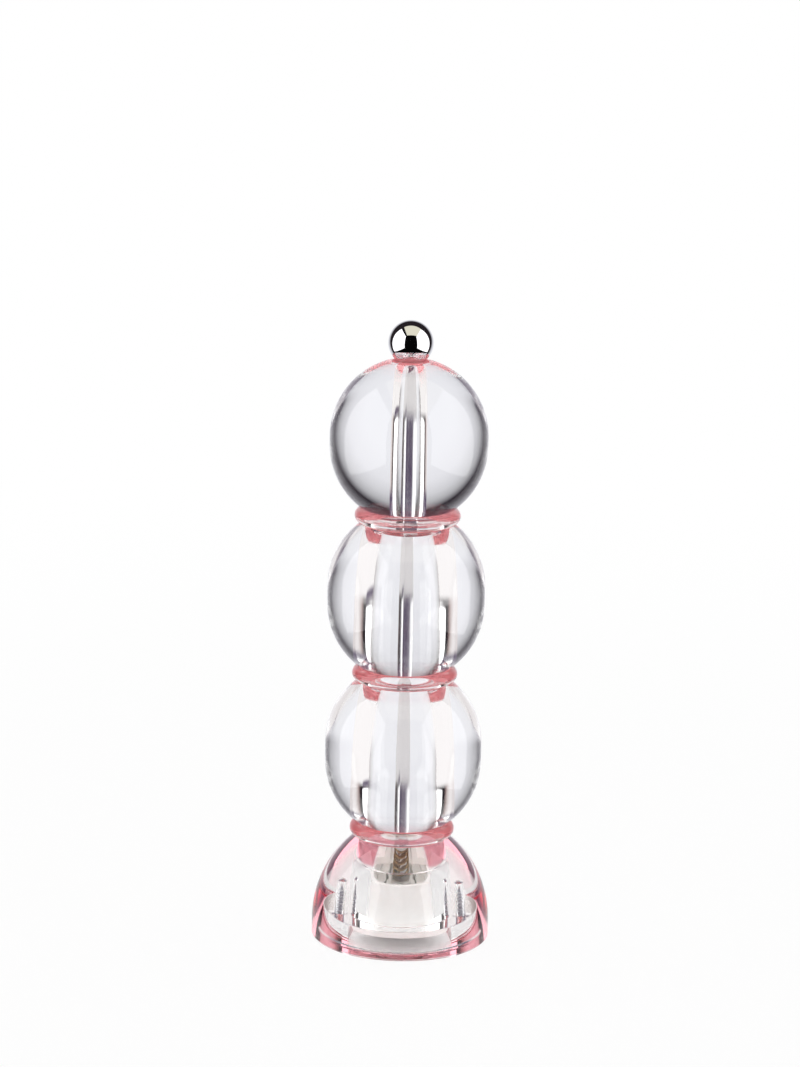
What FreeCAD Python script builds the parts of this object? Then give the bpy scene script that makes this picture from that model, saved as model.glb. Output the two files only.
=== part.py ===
"""Pepper mill: a column of clear balls and beads on a domed foot, bonded with thin pink rings, and a grinder.

Millimetres, +Z up, origin at the centre of the foot's underside. Every turned piece is revolved about Z.
"""

import FreeCAD, Part
import math
import os

# Balls and collars
ball_diameter = 60.0
ball_belt = 7.0  # straight band between the two round halves of a body ball
head_belt = 3.25  # the same on the head ball
neck_diameter = 35.4  # flat on a ball where a collar sits
head_top_flat = 18.2  # flat on the head ball under the knob
chamber_bore = 26.0  # bore of the body balls
head_bore = 9.2
collar_height = 6.0  # from flat to flat, bead and bonding rings together
bead_diameter = 40.3
bond_thickness = 0.3  # pink bonding ring
knob_ring_diameter = 14.0
plug_reach = 4.2  # reach of the head plug below the upper collar

# Foot
foot_diameter = 68.4
foot_height = 40.0
foot_wall = 6.55  # height where the dome leaves the straight side
foot_edge_round = 0.8
chamber_floor = 26.45  # height where the chamber gives way to the wider grinder bore
grinder_bore = 27.0
recess_diameter = 40.2
recess_depth = 7.9
recess_edge = 0.5  # chamfer at the mouth

# Knob
knob_diameter = 17.1
knob_flat = 10.7
knob_hole_spare = 1.8  # free depth above the thread at its highest

# Spindle and its thread
spindle_side = 4.4
spindle_corner = 0.6
spindle_twist = 28.0  # degrees, how the square stands
thread_diameter = 4.0
thread_in_knob = 6.7
setting_travel = 1.0  # lift of the rotor between coarse and fine
thread_below_knob = 9.5

# Grinder
housing_wall = 0.9
housing_height = 16.45
housing_lip = 1.2  # ledge over the stator, its height and its reach inward
flange_thickness = 2.5
flange_margin = 1.2  # flange edge to recess wall
retainer_height = 1.5
retainer_wall = 0.95
stator_height = 8.8
stator_mouth = 18.4  # bore of the stator at its lower end
burr_taper = 0.284  # fall of the burr's radius per unit of height
burr_gap = 0.6
rotor_height = 9.2
rotor_drop = 1.2  # rotor below the stator's lower face
flute_count = 14
flute_radius = 0.7
flute_slant = 14.0  # degrees of turn from end to end
carrier_diameter = 8.8
carrier_flange = 13.0
carrier_flange_height = 1.6
carrier_rise = 2.0  # carrier above the rotor
key_width = 2.0
key_reach = 1.0
key_height = 6.0

# Spring, bridge and washers
spring_wire = 0.75
spring_mean_diameter = 6.9
spring_pitch = 1.65
spring_turns = 5.25
washer_thickness = 0.6
washer_rim = 0.55  # washer beyond the spring
bridge_width = 5.0
bridge_thickness = 2.0
bridge_leg_inside = 5.0  # leg's near face from the axis
bridge_leg_depth = 2.8
bridge_foot_height = 2.0
bridge_eye_wall = 1.4  # round the spindle's hole

# Screws
screw_circle = 33.0
screw_count = 2
screw_diameter = 3.0
screw_core = 2.2
screw_pitch = 1.1
screw_length = 10.0
screw_tip = 1.4
screw_head_diameter = 4.6
screw_head_height = 1.7
pilot_depth = 10.5
rotor_screw_diameter = 3.0
rotor_screw_length = 9.0
rotor_screw_spare = 1.0  # tapped hole beyond the screw
slot_width = 0.8  # cross slot in a screw head
slot_depth = 0.8
slot_reach = 0.6  # share of the head's width
ridge_start = 0.2  # a thread ridge's start, crest and end, as shares of the pitch
ridge_crest = 0.5
ridge_end = 0.8

# Clearances
glue_gap = 0.05  # glued and pressed fits
running_gap = 0.1  # turning and sliding fits
thread_gap = 0.05
seat_gap = 0.1  # faces that turn on each other
coil_gap = 0.05  # spring to its washers
housing_gap = 0.3
key_gap = 0.05
end_gap = 0.4  # faces that must not meet

# Derived radii
ball_radius = ball_diameter / 2
neck_radius = neck_diameter / 2
bore_radius = chamber_bore / 2
head_bore_radius = head_bore / 2
plug_radius = bore_radius - running_gap
foot_radius = foot_diameter / 2
grinder_bore_radius = grinder_bore / 2
recess_radius = recess_diameter / 2
knob_radius = knob_diameter / 2
thread_radius = thread_diameter / 2
housing_radius = grinder_bore_radius - housing_gap
housing_inner = housing_radius - housing_wall
flange_radius = recess_radius - flange_margin
stator_radius = housing_inner - glue_gap
carrier_radius = carrier_diameter / 2
spring_radius = spring_mean_diameter / 2
washer_radius = spring_radius + spring_wire / 2 + washer_rim
spindle_reach = (spindle_side / 2 - spindle_corner) * math.sqrt(2) + spindle_corner
screw_radius = screw_diameter / 2
pilot_radius = screw_radius + thread_gap
base_inner = recess_radius + recess_edge
base_outer = foot_radius - foot_edge_round

# Derived heights, from the table upward
cap_height = math.sqrt(ball_radius**2 - neck_radius**2)
top_cap_height = math.sqrt(ball_radius**2 - (head_top_flat / 2) ** 2)
ball_length = 2 * cap_height + ball_belt
head_height = cap_height + head_belt + top_cap_height
lower_collar_z = foot_height
lower_ball_z = lower_collar_z + collar_height
middle_collar_z = lower_ball_z + ball_length
upper_ball_z = middle_collar_z + collar_height
upper_collar_z = upper_ball_z + ball_length
head_z = upper_collar_z + collar_height + seat_gap
head_top_z = head_z + head_height
plug_z = upper_collar_z - plug_reach
plug_top_z = head_z - bond_thickness
knob_z = head_top_z + bond_thickness + seat_gap
knob_centre_z = knob_z + math.sqrt(knob_radius**2 - (knob_flat / 2) ** 2)
thread_top_z = knob_z + thread_in_knob
thread_z = knob_z - thread_below_knob
flange_z = recess_depth - flange_thickness
stator_z = flange_z + retainer_height
stator_top_z = stator_z + stator_height
housing_top_z = flange_z + housing_height
rotor_z = stator_z - rotor_drop
rotor_top_z = rotor_z + rotor_height
carrier_z = rotor_z - carrier_flange_height
carrier_top_z = rotor_top_z + carrier_rise
spindle_z = carrier_z + end_gap
seat_washer_top_z = carrier_top_z + washer_thickness
spring_z = seat_washer_top_z + coil_gap + spring_wire / 2
spring_top_z = spring_z + spring_pitch * spring_turns
thrust_washer_z = spring_top_z + spring_wire / 2 + coil_gap
bridge_z = thrust_washer_z + washer_thickness + seat_gap
rotor_washer_z = carrier_z - washer_thickness

axis = FreeCAD.Vector(0, 0, 1)
origin = FreeCAD.Vector(0, 0, 0)


def at(radius, height):
    """A point of a turned outline."""
    return FreeCAD.Vector(radius, 0, height)


def turned(steps):
    """Solid of revolution. A step is a corner (r, z), or two points (on the arc, its end) for an arc."""
    here = at(*steps[0])
    edges = []
    for step in list(steps[1:]) + [steps[0]]:
        if isinstance(step[0], tuple):
            through, end = at(*step[0]), at(*step[1])
            edges.append(Part.Arc(here, through, end).toShape())
        else:
            end = at(*step)
            if end.distanceToPoint(here) < 1e-9:
                continue
            edges.append(Part.LineSegment(here, end).toShape())
        here = end
    face = Part.Face(Part.Wire(edges))
    return face.revolve(origin, axis, 360)


def ring(inner, outer, low, high):
    """Plain turned ring."""
    return turned([(inner, low), (outer, low), (outer, high), (inner, high)])


def rounded_square(side, corner, low, high):
    """Square bar about Z with rounded corners, standing as the spindle does."""
    half = side / 2
    bar = Part.makeBox(side, side, high - low, FreeCAD.Vector(-half, -half, low))
    if corner > 0:
        uprights = [e for e in bar.Edges if abs(e.Vertexes[0].Z - e.Vertexes[1].Z) > (high - low) / 2]
        bar = bar.makeFillet(corner, uprights)
    bar.rotate(origin, axis, spindle_twist)
    return bar


def square_hole(gap, low, high):
    """Cutter for a square hole that the spindle fits with a gap."""
    return rounded_square(spindle_side + 2 * gap, spindle_corner, low, high)


def round_cap(centre_z, start, end):
    """Arc step of a ball's outline between two heights above or below its centre."""
    middle = (math.asin(start / ball_radius) + math.asin(end / ball_radius)) / 2
    through = (ball_radius * math.cos(middle), centre_z + ball_radius * math.sin(middle))
    return through, (math.sqrt(ball_radius**2 - end**2), centre_z + end)


def belted_ball(low, bore, belt, top_cap):
    """Ball cut flat below and above, with a straight belt and a bore right through."""
    centre = low + cap_height
    upper_centre = centre + belt
    high = upper_centre + top_cap
    outline = [
        (bore, low),
        (neck_radius, low),
        round_cap(centre, -cap_height, 0.0),
        (ball_radius, upper_centre),
        round_cap(upper_centre, 0.0, top_cap),
        (bore, high),
    ]
    return turned(outline)


def collar(low, high):
    """Clear bead with a rounded outside and the chamber's bore."""
    round_radius = (high - low) / 2
    shoulder = bead_diameter / 2 - round_radius
    outline = [
        (bore_radius, low),
        (shoulder, low),
        ((bead_diameter / 2, low + round_radius), (shoulder, high)),
        (bore_radius, high),
    ]
    return turned(outline)


def bond(inner, outer, low):
    """Thin pink ring that bonds two faces, by its radii and the height of its lower face."""
    return ring(inner, outer, low, low + bond_thickness)


def head_plug():
    """Clear plug under the head ball, with the square hole that turns the spindle."""
    body = Part.makeCylinder(plug_radius, plug_top_z - plug_z, FreeCAD.Vector(0, 0, plug_z))
    return body.cut(square_hole(running_gap, plug_z - end_gap, plug_top_z + end_gap))


def foot():
    """Clear dome with the chamber's bore above, a wider grinder bore and a recess below."""
    side = foot_radius - neck_radius
    rise = foot_height - foot_wall
    dome_radius = (side**2 + rise**2) / (2 * side)
    half_turn = math.asin(rise / dome_radius) / 2
    dome_through = (
        foot_radius - dome_radius + dome_radius * math.cos(half_turn),
        foot_wall + dome_radius * math.sin(half_turn),
    )
    edge = foot_edge_round
    low = bond_thickness
    edge_through = (
        base_outer + edge * math.sin(math.pi / 4),
        low + edge - edge * math.cos(math.pi / 4),
    )
    outline = [
        (base_inner, low),
        (base_outer, low),
        (edge_through, (foot_radius, low + edge)),
        (foot_radius, foot_wall),
        (dome_through, (neck_radius, foot_height)),
        (bore_radius, foot_height),
        (bore_radius, chamber_floor),
        (grinder_bore_radius, chamber_floor),
        (grinder_bore_radius, recess_depth),
        (recess_radius, recess_depth),
        (recess_radius, low + recess_edge),
    ]
    body = turned(outline)
    return body.cut([pilot_hole(place) for place in screw_places()])


def screw_places():
    """Centres of the flange screws, on a circle about the axis."""
    turns = [2 * math.pi * k / screw_count for k in range(screw_count)]
    radius = screw_circle / 2
    return [FreeCAD.Vector(radius * math.cos(a), radius * math.sin(a), 0) for a in turns]


def pilot_hole(place):
    """Blind hole with a drilled point, up into the foot from the recess."""
    drill = Part.makeCylinder(pilot_radius, pilot_depth, place + FreeCAD.Vector(0, 0, recess_depth))
    point_z = recess_depth + pilot_depth
    point = Part.makeCone(pilot_radius, 0, pilot_radius / 2, place + FreeCAD.Vector(0, 0, point_z))
    return drill.fuse(point)


def cross_slot(head_diameter, low):
    """Cutter for the cross slot in the lower face of a screw head."""
    length = head_diameter * slot_reach
    bars = []
    for wide, deep in ((length, slot_width), (slot_width, length)):
        corner = FreeCAD.Vector(-wide / 2, -deep / 2, low)
        bars.append(Part.makeBox(wide, deep, slot_depth, corner))
    return bars[0].fuse(bars[1])


def screw_head(diameter, low, high):
    """Outline steps of a pan head, from the axis below to its seat above."""
    radius = diameter / 2
    crown = (high - low) / 2
    through = (radius - crown + crown * math.sin(math.pi / 4), low + crown - crown * math.cos(math.pi / 4))
    return [(0, low), (radius - crown, low), (through, (radius, low + crown)), (radius, high)]


def flange_screw():
    """Self-tapping screw, head down, with turned thread ridges and a point."""
    seat = flange_z
    low = seat - screw_head_height
    core = screw_core / 2
    outline = screw_head(screw_head_diameter, low, seat)
    outline.append((core, seat))
    ridges = int(screw_length / screw_pitch)
    for k in range(ridges):
        foot_of_ridge = seat + k * screw_pitch
        outline.append((core, foot_of_ridge + screw_pitch * ridge_start))
        outline.append((screw_radius, foot_of_ridge + screw_pitch * ridge_crest))
        outline.append((core, foot_of_ridge + screw_pitch * ridge_end))
    outline.append((core, seat + screw_length))
    outline.append((0, seat + screw_length + screw_tip))
    return turned(outline).cut(cross_slot(screw_head_diameter, low))


def flange_screws():
    """The identical flange screws, as separate solids in one group."""
    screws = []
    for place in screw_places():
        screw = flange_screw()
        screw.translate(place)
        screws.append(screw)
    return Part.makeCompound(screws)


def grinder_housing():
    """White tube with a flange, a ledge over the stator and holes for the screws."""
    ledge = housing_inner - housing_lip
    outline = [
        (housing_inner, flange_z),
        (flange_radius, flange_z),
        (flange_radius, recess_depth),
        (housing_radius, recess_depth),
        (housing_radius, housing_top_z),
        (housing_inner, housing_top_z),
        (housing_inner, stator_top_z + 2 * housing_lip),
        (ledge, stator_top_z + housing_lip),
        (ledge, stator_top_z),
        (housing_inner, stator_top_z),
    ]
    body = turned(outline)
    holes = []
    for place in screw_places():
        start = place + FreeCAD.Vector(0, 0, flange_z - end_gap)
        holes.append(Part.makeCylinder(pilot_radius, flange_thickness + 2 * end_gap, start))
    return body.cut(holes)


def burr_radius(height):
    """Radius of the stator's cone at a height."""
    return stator_mouth / 2 - burr_taper * (height - stator_z)


def flutes(offset, low, high):
    """Slanted round cutters along a burr's cone."""
    cutters = []
    slant = math.radians(flute_slant)
    for k in range(flute_count):
        start_turn = 2 * math.pi * k / flute_count
        ends = []
        for height, turn in ((low, start_turn), (high, start_turn + slant)):
            radius = burr_radius(height) + offset
            ends.append(FreeCAD.Vector(radius * math.cos(turn), radius * math.sin(turn), height))
        along = ends[1] - ends[0]
        cutters.append(Part.makeCylinder(flute_radius, along.Length, ends[0], along))
    return cutters


def stator():
    """Ceramic ring with a fluted conical bore, wider below."""
    outline = [
        (burr_radius(stator_z), stator_z),
        (stator_radius, stator_z),
        (stator_radius, stator_top_z),
        (burr_radius(stator_top_z), stator_top_z),
    ]
    return turned(outline).cut(flutes(0.0, stator_z - flute_radius, stator_top_z + flute_radius))


def rotor_bore():
    """Cutter for the rotor's bore and keyways."""
    low = rotor_z - end_gap
    bore = Part.makeCylinder(carrier_radius + glue_gap, rotor_height + 2 * end_gap, FreeCAD.Vector(0, 0, low))
    return bore.fuse(keys(key_gap, rotor_z - end_gap))


def keys(gap, low):
    """Pair of key ribs across the carrier, or their keyways with a gap."""
    wide = key_width + 2 * gap
    long = 2 * (carrier_radius + key_reach + gap)
    tall = rotor_z + key_height + gap - low
    return Part.makeBox(long, wide, tall, FreeCAD.Vector(-long / 2, -wide / 2, low))


def rotor():
    """Ceramic cone with flutes, keyed on its carrier."""
    outline = [
        (0, rotor_z),
        (burr_radius(rotor_z) - burr_gap, rotor_z),
        (burr_radius(rotor_top_z) - burr_gap, rotor_top_z),
        (0, rotor_top_z),
    ]
    grooves = flutes(-burr_gap, rotor_z - flute_radius, rotor_top_z + flute_radius)
    return turned(outline).cut(grooves + [rotor_bore()])


def rotor_carrier():
    """Plastic hub under and through the rotor, with keys and a square hole."""
    outline = [
        (0, carrier_z),
        (carrier_flange / 2, carrier_z),
        (carrier_flange / 2, rotor_z),
        (carrier_radius, rotor_z),
        (carrier_radius, carrier_top_z),
        (0, carrier_top_z),
    ]
    body = turned(outline).fuse(keys(0.0, rotor_z)).removeSplitter()
    return body.cut(square_hole(running_gap, carrier_z - end_gap, carrier_top_z + end_gap))


def spindle():
    """Square bar with a threaded round end above and a tapped hole below."""
    bar = rounded_square(spindle_side, spindle_corner, spindle_z, thread_z)
    stud = Part.makeCylinder(thread_radius, thread_top_z - thread_z, FreeCAD.Vector(0, 0, thread_z))
    hole_depth = rotor_screw_length - (spindle_z - carrier_z) - washer_thickness + rotor_screw_spare
    hole_radius = rotor_screw_diameter / 2 + thread_gap
    hole = Part.makeCylinder(hole_radius, hole_depth, FreeCAD.Vector(0, 0, spindle_z))
    return bar.fuse(stud).removeSplitter().cut(hole)


def adjusting_knob():
    """Ball knob with a flat seat and a blind hole for the spindle's thread."""
    hole = thread_radius + thread_gap
    hole_top = thread_top_z + setting_travel + knob_hole_spare
    outline = [
        (hole, knob_z),
        (knob_flat / 2, knob_z),
        ((knob_radius, knob_centre_z), (0, knob_centre_z + knob_radius)),
        (0, hole_top),
        (hole, hole_top),
    ]
    return turned(outline)


def rotor_screw():
    """Pan-head screw in the spindle's lower end, with its shank up."""
    head_low = rotor_washer_z - screw_head_height
    shank = rotor_screw_diameter / 2
    outline = screw_head(screw_head_diameter, head_low, rotor_washer_z)
    outline += [(shank, rotor_washer_z), (shank, rotor_washer_z + rotor_screw_length)]
    outline.append((0, rotor_washer_z + rotor_screw_length))
    return turned(outline).cut(cross_slot(screw_head_diameter, head_low))


def spring_bridge():
    """Stirrup on the housing's rim: two footed legs and a crosspiece with an eye for the spindle."""
    leg_outside = bridge_leg_inside + bridge_leg_depth
    foot_outside = math.sqrt(housing_radius**2 - (bridge_width / 2) ** 2)
    top_z = bridge_z + bridge_thickness
    half = []
    for x_near, x_far, low, high in (
        (0.0, leg_outside, bridge_z, top_z),
        (bridge_leg_inside, leg_outside, housing_top_z, bridge_z),
        (bridge_leg_inside, foot_outside, housing_top_z, housing_top_z + bridge_foot_height),
    ):
        corner = FreeCAD.Vector(x_near, -bridge_width / 2, low)
        half.append(Part.makeBox(x_far - x_near, bridge_width, high - low, corner))
    right = half[0].fuse(half[1:])
    left = right.copy()
    left.rotate(origin, axis, 180)
    hole_radius = spindle_reach + running_gap
    eye = ring(hole_radius, hole_radius + bridge_eye_wall, bridge_z, top_z)
    hole = Part.makeCylinder(hole_radius, bridge_thickness, FreeCAD.Vector(0, 0, bridge_z))
    return right.fuse(left).cut(hole).fuse(eye).removeSplitter()


def biarc(start, start_way, end, end_way):
    """Two arcs from start to end, each tangent to the way given there."""
    span = end - start
    ways = start_way + end_way
    bend = 2 * (1 - start_way.dot(end_way))
    reach = (math.sqrt(span.dot(ways) ** 2 + bend * span.dot(span)) - span.dot(ways)) / bend
    first_corner = start + start_way * reach
    second_corner = end - end_way * reach
    join = (first_corner + second_corner) * 0.5
    return [corner_arc(start, first_corner, join), corner_arc(join, second_corner, end)]


def corner_arc(start, corner, end):
    """Arc tangent to both legs of an even-legged corner."""
    middle = (start + end) * 0.5
    half_chord = (end - start).Length / 2
    angle = math.acos(half_chord / (corner - start).Length)
    towards = (corner - middle).normalize()
    return Part.Arc(start, middle + towards * half_chord * math.tan(angle / 2), end).toShape()


def spring_point(turn):
    """Point of the coil's line and its way, at a number of turns from the lower end."""
    angle = 2 * math.pi * turn
    place = FreeCAD.Vector(
        spring_radius * math.cos(angle), spring_radius * math.sin(angle), spring_z + spring_pitch * turn
    )
    way = FreeCAD.Vector(
        -spring_radius * math.sin(angle), spring_radius * math.cos(angle), spring_pitch / (2 * math.pi)
    )
    return place, way.normalize()


def spring():
    """Coil of round wire, one unbroken tube on quarter-turn biarcs with straight ends."""
    quarters = max(2, round(spring_turns * 4))
    stops = [spring_point(spring_turns * k / quarters) for k in range(quarters + 1)]
    first, first_way = stops[0]
    last, last_way = stops[-1]
    level_first = FreeCAD.Vector(first_way.x, first_way.y, 0).normalize()
    level_last = FreeCAD.Vector(last_way.x, last_way.y, 0).normalize()
    stops[0] = (first, level_first)
    stops[-1] = (last, level_last)
    lead = first - level_first * spring_wire
    tail = last + level_last * spring_wire
    edges = [Part.LineSegment(lead, first).toShape()]
    for (start, start_way), (end, end_way) in zip(stops, stops[1:]):
        edges += biarc(start, start_way, end, end_way)
    edges.append(Part.LineSegment(last, tail).toShape())
    path = Part.Wire(edges)
    section = Part.Wire([Part.makeCircle(spring_wire / 2, lead, level_first)])
    pipe = Part.BRepOffsetAPI.MakePipeShell(path)
    pipe.add(section)
    pipe.build()
    pipe.makeSolid()
    report_spring(path, pipe.shape())
    return pipe.shape()


def report_spring(path, solid):
    """Print the coil's least gap to itself, measured on points, and its volume against the wire's."""
    steps = 600
    points = path.discretize(steps)
    apart = int(steps / spring_turns / 2)
    least = min(
        (points[i] - points[j]).Length for i in range(steps) for j in range(i + apart, steps)
    )
    wire_volume = math.pi * (spring_wire / 2) ** 2 * path.Length
    print(f"spring: least gap to itself {least - spring_wire:.3f} mm")
    print(f"spring: volume {solid.Volume:.2f} mm3, wire section times length {wire_volume:.2f} mm3")


def make_parts():
    """Every piece of the mill by its node's name."""
    spring_eye = spindle_reach + running_gap
    shank_hole = rotor_screw_diameter / 2 + running_gap
    lift = bond_thickness
    return {
        "base_ring": bond(base_inner, base_outer, 0.0),
        "foot": foot(),
        "lower_ring_below": bond(bore_radius, neck_radius, lower_collar_z),
        "lower_collar": collar(lower_collar_z + lift, lower_ball_z - lift),
        "lower_ring_above": bond(bore_radius, neck_radius, lower_ball_z - lift),
        "lower_ball": belted_ball(lower_ball_z, bore_radius, ball_belt, cap_height),
        "middle_ring_below": bond(bore_radius, neck_radius, middle_collar_z),
        "middle_collar": collar(middle_collar_z + lift, upper_ball_z - lift),
        "middle_ring_above": bond(bore_radius, neck_radius, upper_ball_z - lift),
        "upper_ball": belted_ball(upper_ball_z, bore_radius, ball_belt, cap_height),
        "upper_ring": bond(bore_radius, neck_radius, upper_collar_z),
        "upper_collar": collar(upper_collar_z + lift, upper_collar_z + collar_height),
        "head_plug": head_plug(),
        "plug_ring": bond(head_bore_radius, plug_radius, plug_top_z),
        "head_ball": belted_ball(head_z, head_bore_radius, head_belt, top_cap_height),
        "knob_ring": bond(head_bore_radius, knob_ring_diameter / 2, head_top_z),
        "adjusting_knob": adjusting_knob(),
        "spindle": spindle(),
        "thrust_washer": ring(spring_eye, washer_radius, thrust_washer_z, thrust_washer_z + washer_thickness),
        "spring": spring(),
        "spring_seat": ring(spring_eye, washer_radius, carrier_top_z, seat_washer_top_z),
        "spring_bridge": spring_bridge(),
        "grinder_housing": grinder_housing(),
        "stator": stator(),
        "stator_retainer": ring(stator_radius - retainer_wall, stator_radius, flange_z, stator_z),
        "rotor": rotor(),
        "rotor_carrier": rotor_carrier(),
        "rotor_washer": ring(shank_hole, carrier_radius, rotor_washer_z, carrier_z),
        "rotor_screw": rotor_screw(),
        "flange_screws": flange_screws(),
    }


os.makedirs("parts", exist_ok=True)
for node, shape in make_parts().items():
    print(f"{node}: {len(shape.Solids)} solid, valid {shape.isValid()}, {shape.Volume:.1f} mm3")
    shape.exportStep(f"parts/{node}.step")
print(f"height {knob_centre_z + knob_radius:.2f} mm")
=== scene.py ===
"""Dresses the pepper mill: clear acrylic with thin pink bonds, chrome, steel, ceramic, and a white studio.

Metres, +Z up, in the frame of the solids. Outlines are in millimetres and scaled when a mesh is made.
"""

import math
import bmesh
import bpy
from mathutils import Matrix, Vector


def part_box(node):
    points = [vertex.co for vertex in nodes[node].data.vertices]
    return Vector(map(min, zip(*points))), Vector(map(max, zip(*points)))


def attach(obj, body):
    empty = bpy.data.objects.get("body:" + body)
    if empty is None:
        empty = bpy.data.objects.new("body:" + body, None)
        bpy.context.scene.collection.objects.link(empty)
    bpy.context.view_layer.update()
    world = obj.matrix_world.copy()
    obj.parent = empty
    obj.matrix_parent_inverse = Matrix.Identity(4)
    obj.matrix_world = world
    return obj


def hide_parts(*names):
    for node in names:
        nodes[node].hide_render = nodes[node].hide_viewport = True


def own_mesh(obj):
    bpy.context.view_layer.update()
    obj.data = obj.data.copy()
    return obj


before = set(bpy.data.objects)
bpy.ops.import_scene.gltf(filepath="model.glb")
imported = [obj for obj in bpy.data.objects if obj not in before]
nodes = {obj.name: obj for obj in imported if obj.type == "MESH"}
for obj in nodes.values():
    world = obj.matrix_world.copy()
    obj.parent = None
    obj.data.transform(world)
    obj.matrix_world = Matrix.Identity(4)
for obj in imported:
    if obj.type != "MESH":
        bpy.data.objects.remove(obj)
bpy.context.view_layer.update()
scene = bpy.context.scene

MM = 0.001
TINY = 1e-6  # a shorter length counts as none
SHARP = math.radians(25)  # an outline that turns by more shows an edge
SPRING_SHARP = math.radians(60)

# Points round a piece and steps along its arcs
SEGMENTS = 192
THREAD_SEGMENTS = 64
SCREW_SEGMENTS = 48
BALL_STEPS = 48
BEAD_STEPS = 28
DOME_STEPS = 64
FOOT_EDGE_STEPS = 8
KNOB_STEPS = 72
CROWN_STEPS = 10
CORNER_STEPS = 6
EASE_STEPS = 6
PITCH_STEPS = 10  # in one pitch of a thread
SPRING_STEPS = 56  # in one turn of the wire
WIRE_SIDES = 14

# Balls and collars
BALL_R = 30.0
NECK_R = 17.7
TOP_FLAT_R = 9.1
BORE_R = 13.0
HEAD_BORE_R = 4.6
BEAD_R = 20.15
PLUG_R = 12.9
KNOB_RING_R = 7.0
HOLE_GAP = 0.1  # square hole round the spindle
EDGE = 0.25  # eased edge of turned acrylic
EASE_SHARE = 0.45  # the most that an eased edge takes of a side
HAIR = 0.01

# Foot
FOOT_R = 34.2
FOOT_WALL = 6.55
FOOT_EDGE = 0.8
BASE_IN = 20.6
BASE_OUT = 33.4
GRINDER_BORE_R = 13.5
RECESS_R = 20.1
RECESS_DEPTH = 7.9
RECESS_EDGE = 0.5
CHAMBER_FLOOR = 26.45
PILOT_R = 1.55
PILOT_DEPTH = 10.5
PILOT_START = 0.5  # the drill starts this far below the recess's roof
SCREW_CIRCLE = 16.5

# Metal
KNOB_R = 8.55
KNOB_FLAT_R = 5.35
KNOB_EDGE = 0.2
KNOB_HOLE_GAP = 0.05  # round the spindle's thread
KNOB_HOLE_DEPTH = 9.5
SPINDLE_HALF = 2.2
SPINDLE_CORNER = 0.6
SPINDLE_CHAMFER = 0.35
SPINDLE_TWIST = math.radians(28)
BAR_HIGH = 215.95  # top of the square bar, where the round thread starts
TAPPED_R = 1.55
TAPPED_DEPTH = 9.0
THREAD_R = 2.0
THREAD_DEPTH = 0.4
THREAD_PITCH = 0.7
THREAD_FADE = 0.5
RIDGE_GAIN = 1.5  # steepens a thread's flanks, which leaves its crest flat
RIDGE_ROOT = 0.15  # leaves its root flat
SPRING_R = 3.45
SPRING_WIRE = 0.375
SPRING_TURNS = 5.25
SPRING_LAY = 0.25  # share of the coil's rise that slackens towards its ends
SCREW_R = 1.5
SCREW_CORE = 1.1
SCREW_PITCH = 1.1
SCREW_HEAD_R = 2.3
SCREW_HEAD = 1.7
SCREW_CROWN = 0.85
SCREW_LENGTH = 10.0
SCREW_RUN_IN = 0.8
SCREW_RUN_OUT = 1.2
SCREW_TIP = 1.4
TIP_SHARE_R = 0.6  # of the core, halfway up the tip
SLOT_WIDE = 0.8
SLOT_LONG = 2.76
SLOT_DEEP = 0.8


def heights(node):
    """Lowest and highest height of a node, in millimetres."""
    low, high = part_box(node)
    return low.z / MM, high.z / MM


# Outlines: lists of (radius, height, joint), where joint says that the run from this point on is glued


def curve(centre_r, centre_z, radius, start, end, count):
    """Points along an arc of an outline, by angles in degrees from outward, upward positive."""
    points = []
    for k in range(count + 1):
        a = math.radians(start + (end - start) * k / count)
        points.append((centre_r + radius * math.cos(a), centre_z + radius * math.sin(a), False))
    return points


def eased(outline, radius):
    """The outline with its bare sharp corners rounded a little."""
    done = []
    count = len(outline)
    for i in range(count):
        before, here, after = outline[i - 1], outline[i], outline[(i + 1) % count]
        a = Vector((here[0] - before[0], here[1] - before[1]))
        b = Vector((after[0] - here[0], after[1] - here[1]))
        turn = a.angle(b) if a.length > TINY and b.length > TINY else 0.0
        if turn < SHARP or before[2] or here[2] or here[0] < TINY:
            done.append(here)
            continue
        reach = min(radius * math.tan(turn / 2), a.length * EASE_SHARE, b.length * EASE_SHARE)
        corner = Vector(here[:2])
        start = corner - a.normalized() * reach
        end = corner + b.normalized() * reach
        for k in range(EASE_STEPS + 1):
            t = k / EASE_STEPS
            p = start * (1 - t) ** 2 + corner * 2 * t * (1 - t) + end * t**2
            done.append((p.x, p.y, False))
    return done


def ring_outline(inner, outer, low, high, glued_above=False):
    """Outline of a plain flat ring."""
    return [(inner, low, False), (outer, low, False), (outer, high, glued_above), (inner, high, False)]


def glued_end(points):
    """Run whose last point starts a glued face."""
    r, z, _ = points[-1]
    return points[:-1] + [(r, z, True)]


def bevelled_ends(points):
    """Run with its two end corners cut by a small bevel, so that the rim catches light."""
    first, last = points[0], points[-1]
    lower = [(first[0] - EDGE, first[1], False)]
    upper = [(last[0] - EDGE, last[1], False)]
    return lower + points[1:-1] + upper


# Meshes


def add_object(name, data):
    """Object in the scene for a mesh or a camera."""
    obj = bpy.data.objects.new(name, data)
    scene.collection.objects.link(obj)
    return obj


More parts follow.
